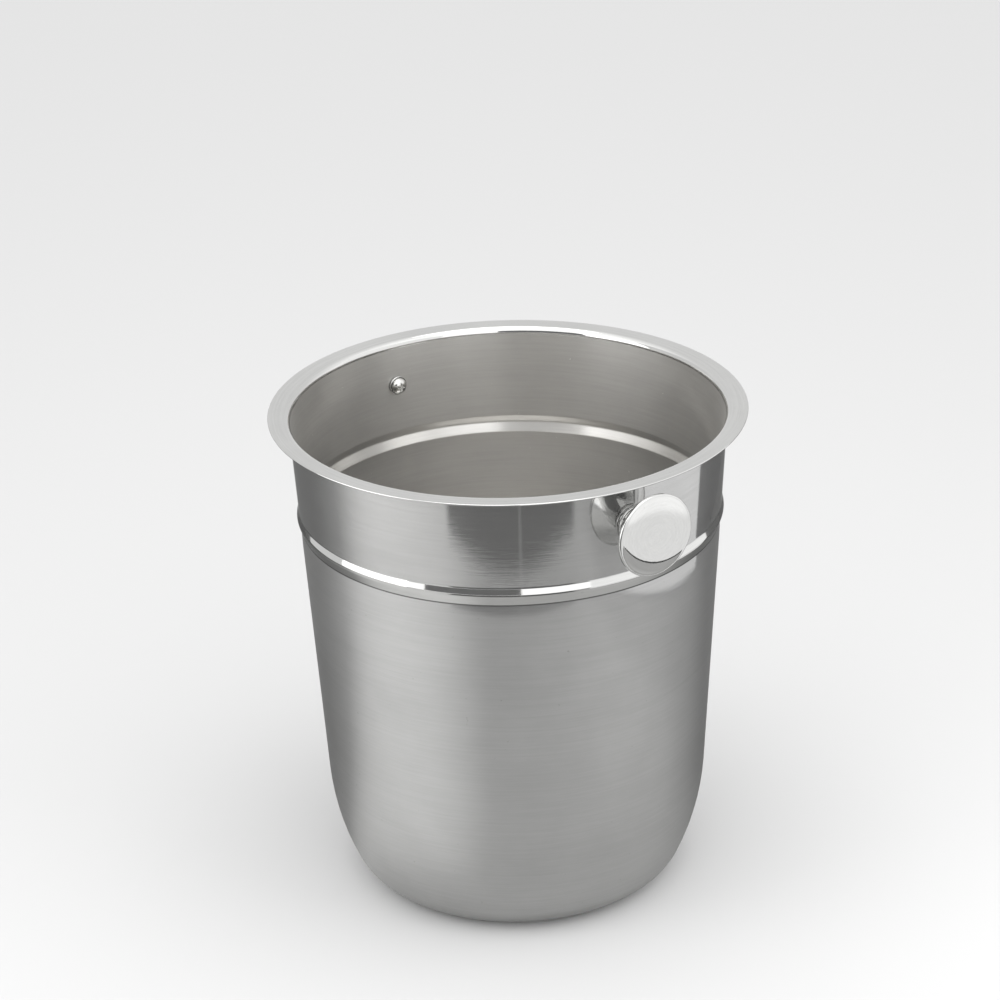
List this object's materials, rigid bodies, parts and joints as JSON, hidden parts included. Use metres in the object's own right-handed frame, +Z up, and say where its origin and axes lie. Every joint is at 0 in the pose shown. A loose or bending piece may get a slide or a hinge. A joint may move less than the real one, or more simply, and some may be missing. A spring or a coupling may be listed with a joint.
{
  "type": "ice bucket",
  "caption": "Tapered drawn-steel wine and ice bucket with a flat rim flange, a rolled bead under it and disc knobs on opposite sides for lifting.",
  "frame": {"origin": "centre of the base, on the surface that the bucket stands on", "axes": "+Z up along the bucket's axis, X through both knobs (left_... pieces at -X, right_... pieces at +X)"},
  "size_m": [0.2426, 0.2276, 0.243],
  "materials": {
    "shell_steel": "satin, brushed round the wall; polished flange and bead",
    "knob_steel": "mirror-polished steel",
    "collar_steel": "polished steel",
    "screw_steel": "polished steel",
    "washer_steel": "bright rolled steel",
    "gasket_rubber": "black, matt"
  },
  "bodies": {
    "root": {"bucket_shell": "shell_steel", "left_knob": "knob_steel", "left_knob_collar": "collar_steel", "left_knob_gasket": "gasket_rubber", "left_knob_screw": "screw_steel", "left_inner_washer": "washer_steel", "right_knob": "knob_steel", "right_knob_collar": "collar_steel", "right_knob_gasket": "gasket_rubber", "right_knob_screw": "screw_steel", "right_inner_washer": "washer_steel"}
  },
  "joints": []
}
